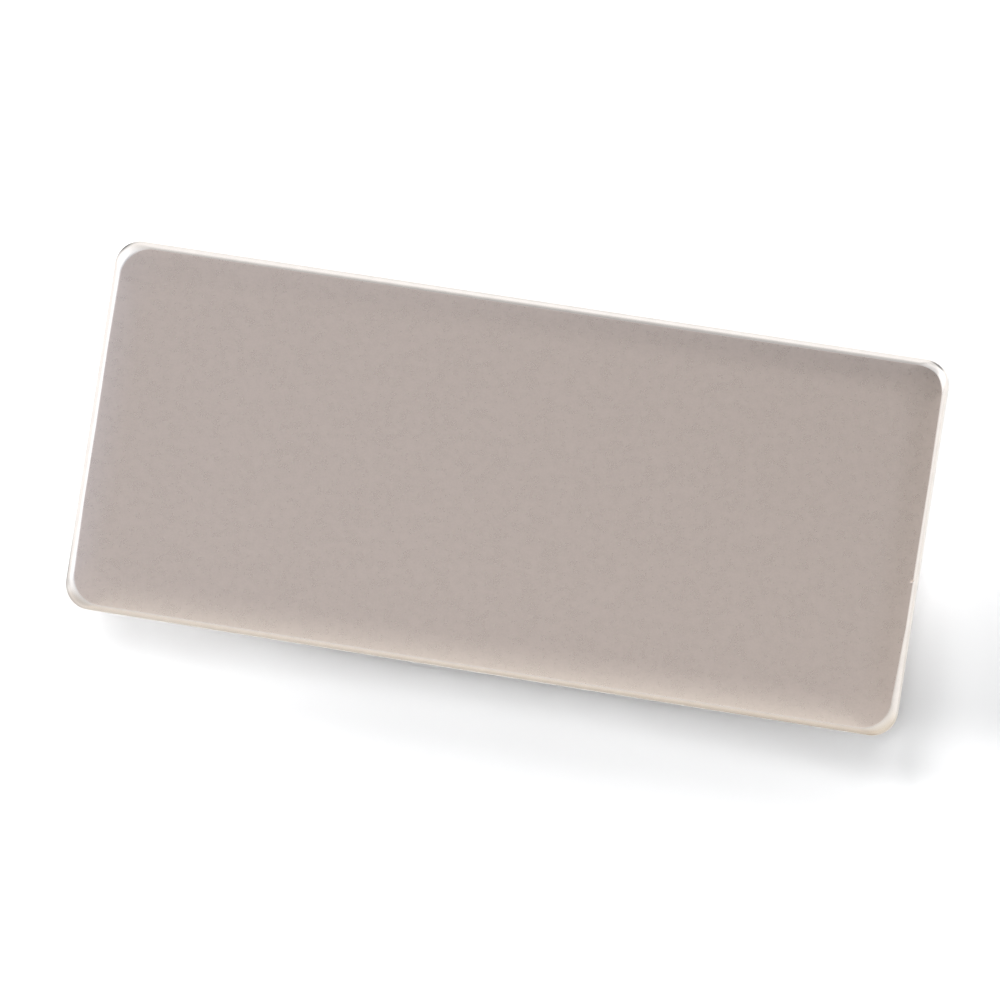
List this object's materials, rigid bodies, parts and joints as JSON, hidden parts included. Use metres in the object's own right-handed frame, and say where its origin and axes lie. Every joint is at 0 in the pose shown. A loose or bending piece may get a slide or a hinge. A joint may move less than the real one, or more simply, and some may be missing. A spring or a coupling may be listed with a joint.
{
  "type": "name badge",
  "caption": "Blank rectangular metal name badge with rounded corners, a crowned satin face, a polished rim and a bar pin on its flat back.",
  "frame": {"origin": "on the surface the badge lies on, below the middle of the plate", "axes": "+X along the long edge to the right as read, +Y towards the upper edge, +Z out of the face"},
  "size_m": [0.068, 0.03, 0.0062],
  "materials": {
    "satin_steel": "fine satin face with a polished rim",
    "plated_steel": "bright nickel plate"
  },
  "bodies": {
    "root": {"name_plate": "satin_steel", "pin_bar": "plated_steel"}
  },
  "joints": []
}
